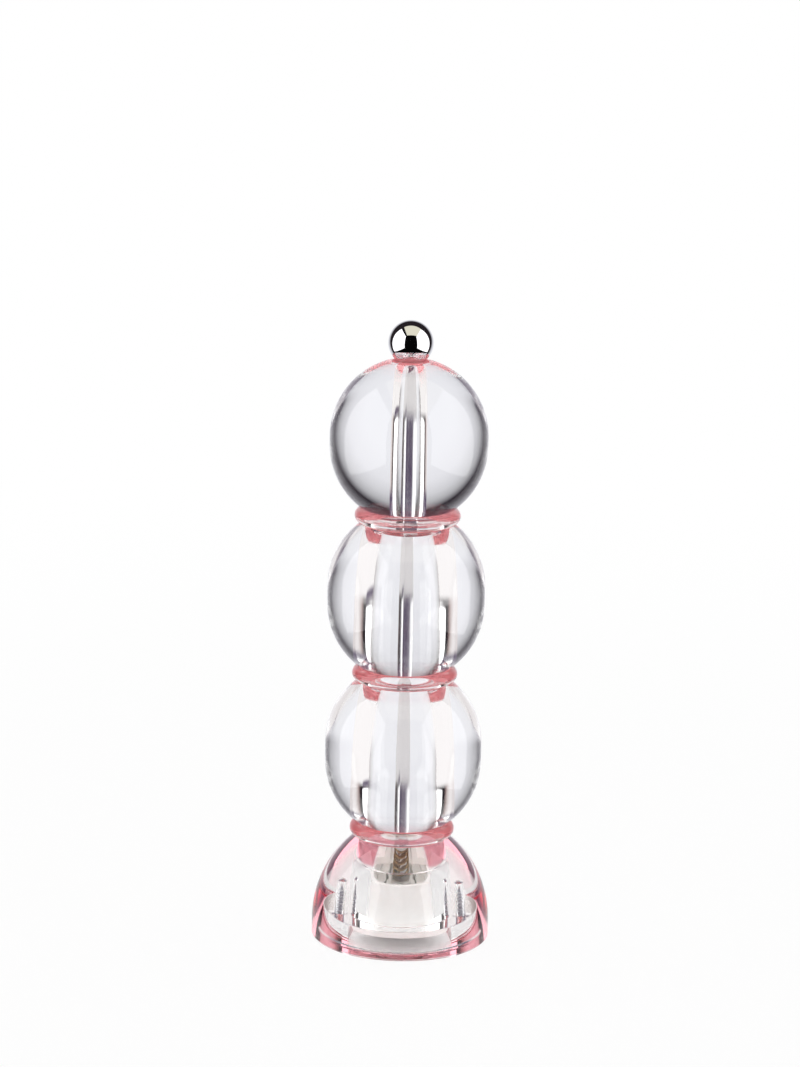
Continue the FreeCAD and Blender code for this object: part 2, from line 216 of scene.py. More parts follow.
def finish_mesh(name, verts, faces, joint_faces=None, sharp=SHARP):
    """Object from points in millimetres, smooth but for its sharp edges, with glued faces marked."""
    bm = bmesh.new()
    made = [bm.verts.new(Vector(v) * MM) for v in verts]
    mark = bm.faces.layers.float.new("joint")
    for k, face in enumerate(faces):
        f = bm.faces.new([made[i] for i in face])
        f.smooth = True
        f[mark] = 1.0 if joint_faces and joint_faces[k] else 0.0
    bmesh.ops.recalc_face_normals(bm, faces=bm.faces)
    for e in bm.edges:
        if len(e.link_faces) == 2:
            e.smooth = e.calc_face_angle(0.0) < sharp
    mesh = bpy.data.meshes.new(name)
    bm.to_mesh(mesh)
    bm.free()
    return add_object(name, mesh)


def turned(name, outline, segments=SEGMENTS, radius_at=None, closed=True):
    """Turned piece from an outline. radius_at(i, angle) may vary the radius round it, as on a thread."""
    verts, rings = [], []
    for i, (r, z, _) in enumerate(outline):
        if r < TINY:
            rings.append([len(verts)])
            verts.append((0, 0, z))
            continue
        ring = []
        for j in range(segments):
            a = 2 * math.pi * j / segments
            q = radius_at(i, a) if radius_at else r
            ring.append(len(verts))
            verts.append((q * math.cos(a), q * math.sin(a), z))
        rings.append(ring)
    faces, glued = [], []
    for i in range(len(outline) if closed else len(outline) - 1):
        low, high = rings[i], rings[(i + 1) % len(rings)]
        if len(low) == 1 and len(high) == 1:
            continue
        for j in range(segments):
            k = (j + 1) % segments
            if len(low) == 1:
                face = (low[0], high[k], high[j])
            elif len(high) == 1:
                face = (low[j], low[k], high[0])
            else:
                face = (low[j], low[k], high[k], high[j])
            faces.append(face)
            glued.append(outline[i][2])
    return finish_mesh(name, verts, faces, glued)


def tube_faces(rings, sides):
    """Faces of a tube with so many rings of points, closed at both ends."""
    faces = []
    for i in range(rings - 1):
        for j in range(sides):
            k = (j + 1) % sides
            faces.append((i * sides + j, i * sides + k, (i + 1) * sides + k, (i + 1) * sides + j))
    faces.append(tuple(range(sides)))
    faces.append(tuple(reversed(range((rings - 1) * sides, rings * sides))))
    return faces


def cut_away(obj, cutter):
    """Takes the cutter's shape out of an object for good, and removes the cutter."""
    cut = obj.modifiers.new("cut", "BOOLEAN")
    cut.operation = "DIFFERENCE"
    cut.solver = "EXACT"
    cut.object = cutter
    graph = bpy.context.evaluated_depsgraph_get()
    graph.update()
    mesh = bpy.data.meshes.new_from_object(obj.evaluated_get(graph))
    obj.modifiers.clear()
    obj.data = mesh
    bpy.data.objects.remove(cutter)


# Acrylic pieces


def ball_sides(low, high, top_r):
    """Outside of a belted ball from its lower flat to its upper flat."""
    fall = math.degrees(math.acos(NECK_R / BALL_R))
    rise = math.degrees(math.acos(top_r / BALL_R))
    lower_centre = low + BALL_R * math.sin(math.radians(fall))
    upper_centre = high - BALL_R * math.sin(math.radians(rise))
    lower_half = curve(0, lower_centre, BALL_R, -fall, 0, BALL_STEPS)
    return lower_half + curve(0, upper_centre, BALL_R, 0, rise, BALL_STEPS)


def body_ball(node):
    """Clear ball with a wide bore, bonded below and above."""
    low, high = heights(node)
    outline = [(BORE_R, low, True)] + glued_end(ball_sides(low, high, NECK_R)) + [(BORE_R, high, False)]
    return turned(node + "_acrylic", outline)


def head_ball():
    """Clear ball with a narrow bore, bonded to its plug below and to the knob's ring above."""
    low, high = heights("head_ball")
    outline = [(HEAD_BORE_R, low, True), (PLUG_R, low, False)]
    outline += bevelled_ends(ball_sides(low, high, TOP_FLAT_R))
    outline += [(KNOB_RING_R, high, True), (HEAD_BORE_R, high, False)]
    return turned("head_ball_acrylic", outline)


def collar(node, bonded_above):
    """Clear bead, bonded below and perhaps above."""
    low, high = heights(node)
    bulge = (high - low) / 2
    side = curve(BEAD_R - bulge, low + bulge, bulge, -90, 90, BEAD_STEPS)
    outline = [(BORE_R, low, True)] + (glued_end(side) if bonded_above else side) + [(BORE_R, high, False)]
    return turned(node + "_acrylic", outline)


def bond(node, inner, outer, above=True):
    """Thin pink ring. A bonded face lies a hair inside, so that it never meets the acrylic's own face."""
    low, high = heights(node)
    low += HAIR
    high -= HAIR if above else 0.0
    return turned(node + "_bond", ring_outline(inner, outer, low, high))


def base_layer():
    """Clear pink layer glued under the foot, whose lower face mirrors what meets it at a low angle."""
    low, high = heights("base_ring")
    return turned("base_ring_bond", ring_outline(BASE_IN, BASE_OUT, low, high - HAIR, glued_above=True))


def square_radius(angle, half, corner):
    """Distance from the axis to the side of a rounded square, standing as the spindle does."""
    turn = (angle - SPINDLE_TWIST) % (math.pi / 2)
    turn = min(turn, math.pi / 2 - turn)
    inner = half - corner
    if half * math.tan(turn) <= inner:
        return half / math.cos(turn)
    along = inner * (math.cos(turn) + math.sin(turn))
    off = inner * (math.cos(turn) - math.sin(turn))
    return along + math.sqrt(corner**2 - off**2)


def head_plug():
    """Clear plug bonded under the head ball, with the square hole that turns the spindle."""
    low, high = heights("head_plug")
    half = SPINDLE_HALF + HOLE_GAP
    outline = [
        (half, low, False),
        (PLUG_R, low, False),
        (PLUG_R, high, True),
        (HEAD_BORE_R, high, False),
        (half, high, False),
    ]

    def radius(i, angle):
        r = outline[i][0]
        return square_radius(angle, half, SPINDLE_CORNER) if r == half else r

    return turned("head_plug_acrylic", outline, radius_at=radius)


def drill(obj, x):
    """Cuts a blind pilot hole with a drilled point up from the recess."""
    low = RECESS_DEPTH - PILOT_START
    top = RECESS_DEPTH + PILOT_DEPTH
    outline = [(0, low, False), (PILOT_R, low, False), (PILOT_R, top, False), (0, top + PILOT_R / 2, False)]
    cutter = turned("pilot_cutter", outline, SCREW_SEGMENTS, closed=False)
    cutter.location.x = x * MM
    cut_away(obj, cutter)


def foot():
    """Clear dome on its base ring, with the chamber's bore, a grinder bore and a recess."""
    low, high = heights("foot")
    side = FOOT_R - NECK_R
    rise = high - FOOT_WALL
    dome_r = (side**2 + rise**2) / (2 * side)
    dome_turn = math.degrees(math.asin(rise / dome_r))
    outline = [
        (GRINDER_BORE_R, CHAMBER_FLOOR, False),
        (GRINDER_BORE_R, RECESS_DEPTH, False),
        (RECESS_R, RECESS_DEPTH, False),
        (RECESS_R, low + RECESS_EDGE, False),
        (BASE_IN, low, True),
    ]
    outline += curve(BASE_OUT, low + FOOT_EDGE, FOOT_EDGE, -90, 0, FOOT_EDGE_STEPS)
    outline += glued_end(curve(FOOT_R - dome_r, FOOT_WALL, dome_r, 0, dome_turn, DOME_STEPS))
    outline += [(BORE_R, high, False), (BORE_R, CHAMBER_FLOOR, False)]
    obj = turned("foot_acrylic", eased(outline, EDGE))
    for place in (SCREW_CIRCLE, -SCREW_CIRCLE):
        drill(obj, place)
    return obj


# Metal pieces


def knob():
    """Chrome ball with a flat seat and a blind hole."""
    low, high = heights("adjusting_knob")
    hole = THREAD_R + KNOB_HOLE_GAP
    hole_top = low + KNOB_HOLE_DEPTH
    start = -math.degrees(math.acos(KNOB_FLAT_R / KNOB_R))
    outline = [(0, hole_top, False), (hole, hole_top, False), (hole, low, False)]
    outline += curve(0, high - KNOB_R, KNOB_R, start, 90, KNOB_STEPS)[:-1]
    outline.append((0, high, False))
    return turned("knob_chrome", eased(outline, KNOB_EDGE), closed=False)


def square_loop(half, corner):
    """Points of a rounded square, standing as the spindle does."""
    points = []
    inner = half - corner
    for k, (sx, sy) in enumerate(((1, 1), (-1, 1), (-1, -1), (1, -1))):
        for i in range(CORNER_STEPS + 1):
            a = math.radians(90 * k + 90 * i / CORNER_STEPS)
            points.append((sx * inner + corner * math.cos(a), sy * inner + corner * math.sin(a)))
    c, s = math.cos(SPINDLE_TWIST), math.sin(SPINDLE_TWIST)
    return [(c * x - s * y, s * x + c * y) for x, y in points]


def spindle_bar(low, high):
    """Square bar with chamfered ends and a tapped hole below."""
    full = square_loop(SPINDLE_HALF, SPINDLE_CORNER)
    small = square_loop(SPINDLE_HALF - SPINDLE_CHAMFER, SPINDLE_CORNER)
    hole = []
    for x, y in full:
        length = math.hypot(x, y)
        hole.append((x / length * TAPPED_R, y / length * TAPPED_R))
    rings = [(hole, low + TAPPED_DEPTH), (hole, low), (small, low), (full, low + SPINDLE_CHAMFER)]
    rings += [(full, high - SPINDLE_CHAMFER), (small, high)]
    verts = [(x, y, z) for loop, z in rings for x, y in loop]
    return finish_mesh("spindle_bar", verts, tube_faces(len(rings), len(full)))


def thread_radius(z, angle, core, crest, pitch):
    """Radius of a right-hand thread at a height and an angle."""
    phase = (z / pitch - angle / (2 * math.pi)) % 1.0
    ridge = 1.0 - abs(2 * phase - 1.0)
    return core + (crest - core) * min(1.0, max(0.0, ridge * RIDGE_GAIN - RIDGE_ROOT))


def thread_rows(radius, low, high, pitch):
    """Rows of an outline along a thread."""
    rows = int((high - low) / pitch * PITCH_STEPS)
    return [(radius, low + (high - low) * k / rows, False) for k in range(rows + 1)]


def spindle_thread(low, high):
    """Threaded round end of the spindle."""
    outline = [(0, low, False)] + thread_rows(THREAD_R, low, high, THREAD_PITCH) + [(0, high, False)]
    core = THREAD_R - THREAD_DEPTH

    def radius(i, angle):
        z = outline[i][1]
        fade = min(1.0, (high - z) / THREAD_FADE)
        return thread_radius(z, angle, core, core + THREAD_DEPTH * max(0.0, fade), THREAD_PITCH)

    return turned("spindle_thread", outline, THREAD_SEGMENTS, radius, closed=False)


def spring():
    """Coil of round wire that rises less steeply towards its ends."""
    low, high = heights("spring")
    start, end = low + SPRING_WIRE, high - SPRING_WIRE
    steps = int(SPRING_TURNS * SPRING_STEPS)
    verts = []
    for i in range(steps + 1):
        t = i / steps
        lay = t * t * (3 - 2 * t) * SPRING_LAY + t * (1 - SPRING_LAY)
        a = 2 * math.pi * SPRING_TURNS * t
        centre = Vector((SPRING_R * math.cos(a), SPRING_R * math.sin(a), start + (end - start) * lay))
        out = Vector((math.cos(a), math.sin(a), 0))
        for j in range(WIRE_SIDES):
            b = 2 * math.pi * j / WIRE_SIDES
            verts.append(centre + out * SPRING_WIRE * math.cos(b) + Vector((0, 0, SPRING_WIRE * math.sin(b))))
    return finish_mesh("spring_coil", verts, tube_faces(steps + 1, WIRE_SIDES), sharp=SPRING_SHARP)


def flange_screw(name, x):
    """Self-tapping screw, head down, with a real thread and a cross slot."""
    low = heights("flange_screws")[0]
    seat = low + SCREW_HEAD
    top = seat + SCREW_LENGTH
    outline = [(0, low, False)]
    outline += curve(SCREW_HEAD_R - SCREW_CROWN, low + SCREW_CROWN, SCREW_CROWN, -90, 0, CROWN_STEPS)
    outline += [(SCREW_HEAD_R, seat, False)]
    first = len(outline)
    outline += thread_rows(SCREW_CORE, seat, top, SCREW_PITCH)
    last = len(outline)
    outline += [(SCREW_CORE * TIP_SHARE_R, top + SCREW_TIP / 2, False), (0, top + SCREW_TIP, False)]

    def radius(i, angle):
        r, z, _ = outline[i]
        if i <= first or i >= last:
            return r
        fade = min(1.0, (z - seat) / SCREW_RUN_IN, max(0.0, (top - z) / SCREW_RUN_OUT))
        return thread_radius(z, angle, SCREW_CORE, SCREW_CORE + (SCREW_R - SCREW_CORE) * fade, SCREW_PITCH)

    obj = turned(name, outline, SCREW_SEGMENTS, radius, closed=False)
    for wide, deep in ((SLOT_LONG, SLOT_WIDE), (SLOT_WIDE, SLOT_LONG)):
        bpy.ops.mesh.primitive_cube_add(size=1)
        cutter = bpy.context.active_object
        cutter.scale = (wide * MM, deep * MM, 2 * SLOT_DEEP * MM)
        cutter.location.z = low * MM
        cut_away(obj, cutter)
    obj.data.transform(Matrix.Translation((x * MM, 0, 0)))
    return obj


# Shader nodes


def new_material(name):
    """Empty node material, its tree and its output."""
    mat = bpy.data.materials.new(name)
    mat.use_nodes = True
    tree = mat.node_tree
    tree.nodes.clear()
    return mat, tree, tree.nodes.new("ShaderNodeOutputMaterial")


def calc(tree, operation, first, second=0.0):
    """Result of one operation on sockets or plain numbers."""
    node = tree.nodes.new("ShaderNodeMath")
    node.operation = operation
    for value, socket in zip((first, second), node.inputs):
        if isinstance(value, (int, float)):
            socket.default_value = value
        else:
            tree.links.new(value, socket)
    return node.outputs[0]


def choose(tree, share, first, second):
    """Colour that goes from the first to the second as the share goes from 0 to 1."""
    node = tree.nodes.new("ShaderNodeMix")
    node.data_type = "RGBA"
    tree.links.new(share, node.inputs["Factor"])
    for value, name in ((first, "A"), (second, "B")):
        if isinstance(value, tuple):
            node.inputs[name].default_value = (*value, 1)
        else:
            tree.links.new(value, node.inputs[name])
    return node.outputs["Result"]


def blend(tree, share, first, second):
    """Shader node that goes from the first to the second as the share goes from 0 to 1."""
    node = tree.nodes.new("ShaderNodeMixShader")
    tree.links.new(share, node.inputs["Fac"])
    tree.links.new(first.outputs[0], node.inputs[1])
    tree.links.new(second.outputs[0], node.inputs[2])
    return node


def step(tree, value, start, end):
    """Smooth step from 0 at start to 1 at end, which may lie either way round."""
    node = tree.nodes.new("ShaderNodeMapRange")
    node.interpolation_type = "SMOOTHSTEP"
    node.inputs["From Min"].default_value = min(start, end)
    node.inputs["From Max"].default_value = max(start, end)
    node.inputs["To Min"].default_value = 0.0 if start < end else 1.0
    node.inputs["To Max"].default_value = 1.0 if start < end else 0.0
    tree.links.new(value, node.inputs["Value"])
    return node.outputs["Result"]


def ramp(tree, value, stops):
    """Colour along a value from 0 to 1."""
    node = tree.nodes.new("ShaderNodeValToRGB")
    marks = node.color_ramp.elements
    while len(marks) < len(stops):
        marks.new(1.0)
    for mark, (place, colour) in zip(marks, stops):
        mark.position = place
        mark.color = (*colour, 1)
    tree.links.new(value, node.inputs["Fac"])
    return node.outputs["Color"]


# Materials
ACRYLIC_IOR = 1.49
POLISH = (0.0, 0.012)  # roughness of polished acrylic
POLISH_SCALE = 60
FLOW_SCALE = 220  # unevenness of a dyed layer
FINE_DETAIL = 4.0
PLAIN_DETAIL = 3.0
NOISE_SPAN = (0.3, 0.7)  # where most of a noise lies
EVEN = (1, 1, 1)
DRAWN = (1, 1, 0.01)  # grain drawn out along the height
BUMP_HEIGHT = 0.0001
MOULD_BUMP = 0.15
MOULD_FINER = 6  # the skin is so many times finer than the mottle
SCATTER_COLOUR = (1.0, 0.9, 0.85)
SCATTER_DEPTH = 0.002
PINK_COVER = 0.7


def noise(tree, scale, detail=PLAIN_DETAIL, stretch=EVEN):
    """Noise in the piece's own coordinates, in metres times the scale."""
    where = tree.nodes.new("ShaderNodeTexCoord")
    mapping = tree.nodes.new("ShaderNodeMapping")
    mapping.inputs["Scale"].default_value = stretch
    tex = tree.nodes.new("ShaderNodeTexNoise")
    tex.inputs["Scale"].default_value = scale
    tex.inputs["Detail"].default_value = detail
    tree.links.new(where.outputs["Object"], mapping.inputs["Vector"])
    tree.links.new(mapping.outputs["Vector"], tex.inputs["Vector"])
    return tex.outputs["Fac"]


def ranged(tree, value, low=0.0, high=1.0):
    """Noise whose usual span is laid on low to high."""
    node = tree.nodes.new("ShaderNodeMapRange")
    node.inputs["From Min"].default_value, node.inputs["From Max"].default_value = NOISE_SPAN
    node.inputs["To Min"].default_value = low
    node.inputs["To Max"].default_value = high
    tree.links.new(value, node.inputs["Value"])
    return node.outputs["Result"]


def glued_share(tree):
    """1 on a glued face and 0 on a bare one."""
    joint = tree.nodes.new("ShaderNodeAttribute")
    joint.attribute_name = "joint"
    return joint.outputs["Fac"]


def add_bump(tree, shader, height, strength):
    """Raises a shader's surface a little by a noise."""
    node = tree.nodes.new("ShaderNodeBump")
    node.inputs["Strength"].default_value = strength
    node.inputs["Distance"].default_value = BUMP_HEIGHT
    tree.links.new(height, node.inputs["Height"])
    tree.links.new(node.outputs["Normal"], shader.inputs["Normal"])


def clear_shader(tree, flow):
    """Colourless polished acrylic, whose polish follows a noise."""
    shader = tree.nodes.new("ShaderNodeBsdfPrincipled")
    shader.inputs["Base Color"].default_value = (1, 1, 1, 1)
    shader.inputs["IOR"].default_value = ACRYLIC_IOR
    shader.inputs["Transmission Weight"].default_value = 1.0
    tree.links.new(ranged(tree, flow, *POLISH), shader.inputs["Roughness"])
    return shader


def acrylic(name):
    """Clear cast acrylic. Glued faces let light straight through, so a joint does not shine."""
    mat, tree, out = new_material(name)
    shader = clear_shader(tree, noise(tree, POLISH_SCALE))
    tree.links.new(calc(tree, "SUBTRACT", 1.0, glued_share(tree)), shader.inputs["Alpha"])
    tree.links.new(shader.outputs["BSDF"], out.inputs["Surface"])
    return mat


def dyed_bond(name, colour, pale, rough, cover):
    """Dyed bonding layer: milky, partly see-through and a little uneven."""
    mat, tree, out = new_material(name)
    shader = tree.nodes.new("ShaderNodeBsdfPrincipled")
    flow = noise(tree, FLOW_SCALE, FINE_DETAIL)
    tree.links.new(choose(tree, ranged(tree, flow), colour, pale), shader.inputs["Base Color"])
    tree.links.new(ranged(tree, flow, *rough), shader.inputs["Roughness"])
    shader.inputs["Specular IOR Level"].default_value = 0.0
    shader.inputs["Alpha"].default_value = cover
    tree.links.new(shader.outputs["BSDF"], out.inputs["Surface"])
    return mat


def dyed_clear(name, colour, pale):
    """Clear dyed layer. Its glued face tints the light that goes through it, a little unevenly."""
    mat, tree, out = new_material(name)
    flow = noise(tree, FLOW_SCALE, FINE_DETAIL)
    tint = tree.nodes.new("ShaderNodeBsdfTransparent")
    tree.links.new(choose(tree, ranged(tree, flow), colour, pale), tint.inputs["Color"])
    whole = blend(tree, glued_share(tree), clear_shader(tree, flow), tint)
    tree.links.new(whole.outputs[0], out.inputs["Surface"])
    return mat


def metal(name, colour, rough, stretch, bump, grain):
    """Metal with a fine grain in its roughness, which may be drawn out along one axis."""
    mat, tree, out = new_material(name)
    shader = tree.nodes.new("ShaderNodeBsdfPrincipled")
    shader.inputs["Base Color"].default_value = (*colour, 1)
    shader.inputs["Metallic"].default_value = 1.0
    grain_value = noise(tree, grain, FINE_DETAIL, stretch)
    tree.links.new(ranged(tree, grain_value, *rough), shader.inputs["Roughness"])
    if bump > 0:
        add_bump(tree, shader, grain_value, bump)
    tree.links.new(shader.outputs["BSDF"], out.inputs["Surface"])
    return mat


def moulded(name, colour, dark, rough, scatter, scale):
    """Moulded plastic or fired ceramic with a faint mottle and a fine skin."""
    mat, tree, out = new_material(name)
    shader = tree.nodes.new("ShaderNodeBsdfPrincipled")
    mottle = noise(tree, scale)
    tree.links.new(choose(tree, ranged(tree, mottle), dark, colour), shader.inputs["Base Color"])
    tree.links.new(ranged(tree, mottle, *rough), shader.inputs["Roughness"])
    shader.inputs["Subsurface Weight"].default_value = scatter
    shader.inputs["Subsurface Radius"].default_value = SCATTER_COLOUR
    shader.inputs["Subsurface Scale"].default_value = SCATTER_DEPTH
    add_bump(tree, shader, noise(tree, scale * MOULD_FINER), MOULD_BUMP)
    tree.links.new(shader.outputs["BSDF"], out.inputs["Surface"])
    return mat


clear = acrylic("clear_acrylic")
pink = dyed_bond("pink_bond", (0.97, 0.30, 0.33), (0.98, 0.39, 0.41), (0.2, 0.45), PINK_COVER)
clear_pink = dyed_clear("clear_pink", (0.97, 0.60, 0.65), (0.98, 0.68, 0.73))
chrome = metal("chrome_plate", (0.86, 0.86, 0.88), (0.015, 0.05), EVEN, 0.0, 300)
bar_steel = metal("spindle_steel", (0.78, 0.78, 0.79), (0.10, 0.22), DRAWN, 0.03, 2500)
washer_steel = metal("washer_steel", (0.70, 0.69, 0.68), (0.25, 0.45), EVEN, 0.1, 1500)
spring_wire = metal("spring_wire", (0.42, 0.30, 0.17), (0.12, 0.28), EVEN, 0.1, 2500)
screw_steel = metal("screw_steel", (0.72, 0.72, 0.74), (0.2, 0.4), EVEN, 0.1, 1800)
white_plastic = moulded("white_plastic", (0.93, 0.90, 0.88), (0.88, 0.85, 0.83), (0.35, 0.55), 0.3, 500)
pale_plastic = moulded("pale_plastic", (0.86, 0.82, 0.79), (0.78, 0.74, 0.71), (0.3, 0.5), 0.3, 500)
ceramic = moulded("ceramic", (0.93, 0.92, 0.89), (0.88, 0.86, 0.82), (0.35, 0.6), 0.1, 900)

# Pieces, each with its node, body, slot and material
spindle_low, spindle_high = heights("spindle")
pieces = [
    (foot(), "foot", "mill_body", "clear_acrylic", clear),
    (collar("lower_collar", True), "lower_collar", "mill_body", "clear_acrylic", clear),
    (body_ball("lower_ball"), "lower_ball", "mill_body", "clear_acrylic", clear),
    (collar("middle_collar", True), "middle_collar", "mill_body", "clear_acrylic", clear),
    (body_ball("upper_ball"), "upper_ball", "mill_body", "clear_acrylic", clear),
    (collar("upper_collar", False), "upper_collar", "mill_body", "clear_acrylic", clear),
    (head_plug(), "head_plug", "head", "clear_acrylic", clear),
    (head_ball(), "head_ball", "head", "clear_acrylic", clear),
    (base_layer(), "base_ring", "mill_body", "pink_bond", clear_pink),
    (bond("plug_ring", HEAD_BORE_R, PLUG_R), "plug_ring", "head", "pink_bond", pink),
    (bond("knob_ring", HEAD_BORE_R, KNOB_RING_R, above=False), "knob_ring", "head", "pink_bond", pink),
    (knob(), "adjusting_knob", "knob", "chrome_plate", chrome),
    (spindle_bar(spindle_low, BAR_HIGH), "spindle", "spindle_set", "spindle_steel", bar_steel),
    (spindle_thread(BAR_HIGH, spindle_high), "spindle", "spindle_set", "spindle_steel", bar_steel),
    (spring(), "spring", "spring_pack", "spring_wire", spring_wire),
]
for name, x in (("flange_screw_right", SCREW_CIRCLE), ("flange_screw_left", -SCREW_CIRCLE)):
    pieces.append((flange_screw(name, x), "flange_screws", "mill_body", "screw_steel", screw_steel))
for node in ("lower_ring_below", "lower_ring_above", "middle_ring_below", "middle_ring_above", "upper_ring"):
    pieces.append((bond(node, BORE_R, NECK_R), node, "mill_body", "pink_bond", pink))
for piece, node, body, slot, material in pieces:
    piece.data.materials.clear()
    piece.data.materials.append(material)
    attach(piece, body)
    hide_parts(node)

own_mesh(bpy.data.objects["spring_coil"])

kept = {
    "thrust_washer": washer_steel,
    "spring_seat": washer_steel,
    "spring_bridge": pale_plastic,
    "grinder_housing": white_plastic,
    "stator": ceramic,
    "stator_retainer": white_plastic,
    "rotor": ceramic,
    "rotor_carrier": white_plastic,
    "rotor_washer": washer_steel,
    "rotor_screw": screw_steel,
}
for node, material in kept.items():
    for slot in nodes[node].material_slots:
        slot.material = material

# Studio
WHITE = (1.0, 1.0, 1.0)
BOX_WHITE = (1.8, 1.8, 1.8)
SWEEP_WHITE = (0.90, 0.905, 0.945)
TABLE_WHITE = (0.93, 0.90, 0.90)
FLOOR_GREY = (0.9, 0.9, 0.9)
PANEL_CREAM = (0.85, 0.82, 0.66)
DUSK = (0.12, 0.09, 0.15)
DARK_ROOM = (0.02, 0.015, 0.018)
BLACK_FRONT = (0.002, 0.002, 0.002)
SWEEP_DIP = math.radians(20)  # the sweep's middle lies so far below the horizon
SWEEP_STEPS = (
    (0.05, (0.22, 0.215, 0.23)),
    (0.11, (0.47, 0.47, 0.49)),
    (0.19, (0.67, 0.67, 0.70)),
    (0.29, (0.84, 0.84, 0.88)),
    (0.39, SWEEP_WHITE),
)
LIGHT_ALL_ROUND = 0.75
LIGHT_AT_SIDES = 0.5
GLASS_LOSS = 1.3  # more light on what stands in the acrylic, which keeps some out
SOFT = 0.03  # half the width of a soft box's edge
LEAST_ACROSS = 0.001  # keeps a slope finite
FLOOR_HALF = 3.0
FLOOR_DROP = 0.0003
TENT_HIGH = 0.13525
TENT_R = 0.4
TENT_STEPS = 5


def band(tree, value, low, high):
    """1 between low and high, 0 outside, with soft edges."""
    rising = step(tree, value, low - SOFT, low + SOFT)
    falling = step(tree, value, high + SOFT, high - SOFT)
    return calc(tree, "MULTIPLY", rising, falling)


def bounced(tree, depth):
    """1 once a ray has bounced in the way that the depth counts, and 0 before."""
    return calc(tree, "GREATER_THAN", depth, 0.5)


def not_bounced(tree, depth):
    """1 until a ray has bounced in the way that the depth counts, and 0 after."""
    return calc(tree, "LESS_THAN", depth, 0.5)


def studio_floor():
    """White floor with a soft shadow, which runs out into white. Metal and glass look past it."""
    runs_out = (0.25, 0.9)  # from the mill
    looked_past = (0.045, 0.09)  # glass sees the floor within, and looks past it beyond
    glow_near, glow_far = 0.9, 0.1  # share of plain white for the camera, and what distance adds to it
    mesh = bpy.data.meshes.new("studio_floor")
    corners = [(-1, -1), (1, -1), (1, 1), (-1, 1)]
    mesh.from_pydata([(x * FLOOR_HALF, y * FLOOR_HALF, 0) for x, y in corners], [], [(0, 1, 2, 3)])
    obj = add_object("studio_floor", mesh)
    obj.location.z = -FLOOR_DROP
    mat, tree, out = new_material("studio_white")
    diffuse = tree.nodes.new("ShaderNodeBsdfDiffuse")
    diffuse.inputs["Color"].default_value = (*FLOOR_GREY, 1)
    glow = tree.nodes.new("ShaderNodeEmission")
    passing = tree.nodes.new("ShaderNodeBsdfTransparent")
    where = tree.nodes.new("ShaderNodeTexCoord")
    away = tree.nodes.new("ShaderNodeVectorMath")
    away.operation = "LENGTH"
    tree.links.new(where.outputs["Object"], away.inputs[0])
    distance = away.outputs["Value"]
    path = tree.nodes.new("ShaderNodeLightPath")
    share = calc(tree, "ADD", glow_near, calc(tree, "MULTIPLY", step(tree, distance, *runs_out), glow_far))
    white = blend(tree, calc(tree, "MULTIPLY", share, path.outputs["Is Camera Ray"]), diffuse, glow)
    shiny = calc(tree, "MAXIMUM", path.outputs["Is Glossy Ray"], path.outputs["Is Transmission Ray"])
    past = calc(tree, "MULTIPLY", shiny, step(tree, distance, *looked_past))
    past = calc(tree, "MULTIPLY", past, not_bounced(tree, path.outputs["Diffuse Depth"]))
    whole = blend(tree, past, white, passing)
    tree.links.new(whole.outputs[0], out.inputs["Surface"])
    mesh.materials.append(mat)


def directions(tree, name):
    """Direction of a texture coordinate, its x, y and z, and how far it goes across."""
    where = tree.nodes.new("ShaderNodeTexCoord")
    unit = tree.nodes.new("ShaderNodeVectorMath")
    unit.operation = "NORMALIZE"
    parts = tree.nodes.new("ShaderNodeSeparateXYZ")
    tree.links.new(where.outputs[name], unit.inputs[0])
    tree.links.new(unit.outputs["Vector"], parts.inputs[0])
    x, y, z = parts.outputs
    return x, y, z, calc(tree, "MAXIMUM", calc(tree, "ABSOLUTE", x), LEAST_ACROSS)


def white_sweep(tree, y, z, edge):
    """White sweep, brightest below the horizon, in a dark room. It is the same before and behind."""
    level = calc(tree, "MULTIPLY", calc(tree, "ABSOLUTE", y), math.cos(SWEEP_DIP))
    lean = calc(tree, "SUBTRACT", level, calc(tree, "MULTIPLY", z, math.sin(SWEEP_DIP)))
    stops = [(edge, DARK_ROOM)]
    stops += [(edge + further, colour) for further, colour in SWEEP_STEPS]
    return ramp(tree, lean, stops)


def tent_mirrored(tree, x, y, z, across):
    """What glass mirrors inside: a gap between the sweep and the soft boxes, and the table below."""
    side_span = 3.0  # slope at the ramp's end
    side_steps = [
        (0.26, DARK_ROOM),
        (0.33, (0.28, 0.20, 0.19)),
        (0.40, (0.50, 0.42, 0.41)),
        (0.48, (0.66, 0.59, 0.58)),
        (0.70, (0.83, 0.78, 0.78)),
    ]
    front = (0.0, -0.1)
    top = (0.25, 0.45)
    table = (-0.20, -0.27)
    box_side = (0.60, 0.54)
    box_foot = (-0.25, -0.21)
    bar = (-0.32, -0.25)  # dark bar under the box
    left = (0.1, -0.1)
    sides = calc(tree, "DIVIDE", calc(tree, "ABSOLUTE", y), across)
    rise = calc(tree, "DIVIDE", z, across)
    beside = step(tree, sides, *box_side)
    inner = ramp(tree, calc(tree, "DIVIDE", sides, side_span), side_steps)
    inner = choose(tree, step(tree, y, *front), inner, DUSK)
    inner = choose(tree, step(tree, z, *top), inner, DUSK)
    inner = choose(tree, calc(tree, "MULTIPLY", beside, step(tree, rise, *box_foot)), inner, BOX_WHITE)
    inner = choose(tree, step(tree, z, *table), inner, TABLE_WHITE)
    bar_beside = calc(tree, "MULTIPLY", beside, band(tree, rise, *bar))
    return choose(tree, calc(tree, "MULTIPLY", bar_beside, step(tree, x, *left)), inner, DUSK)


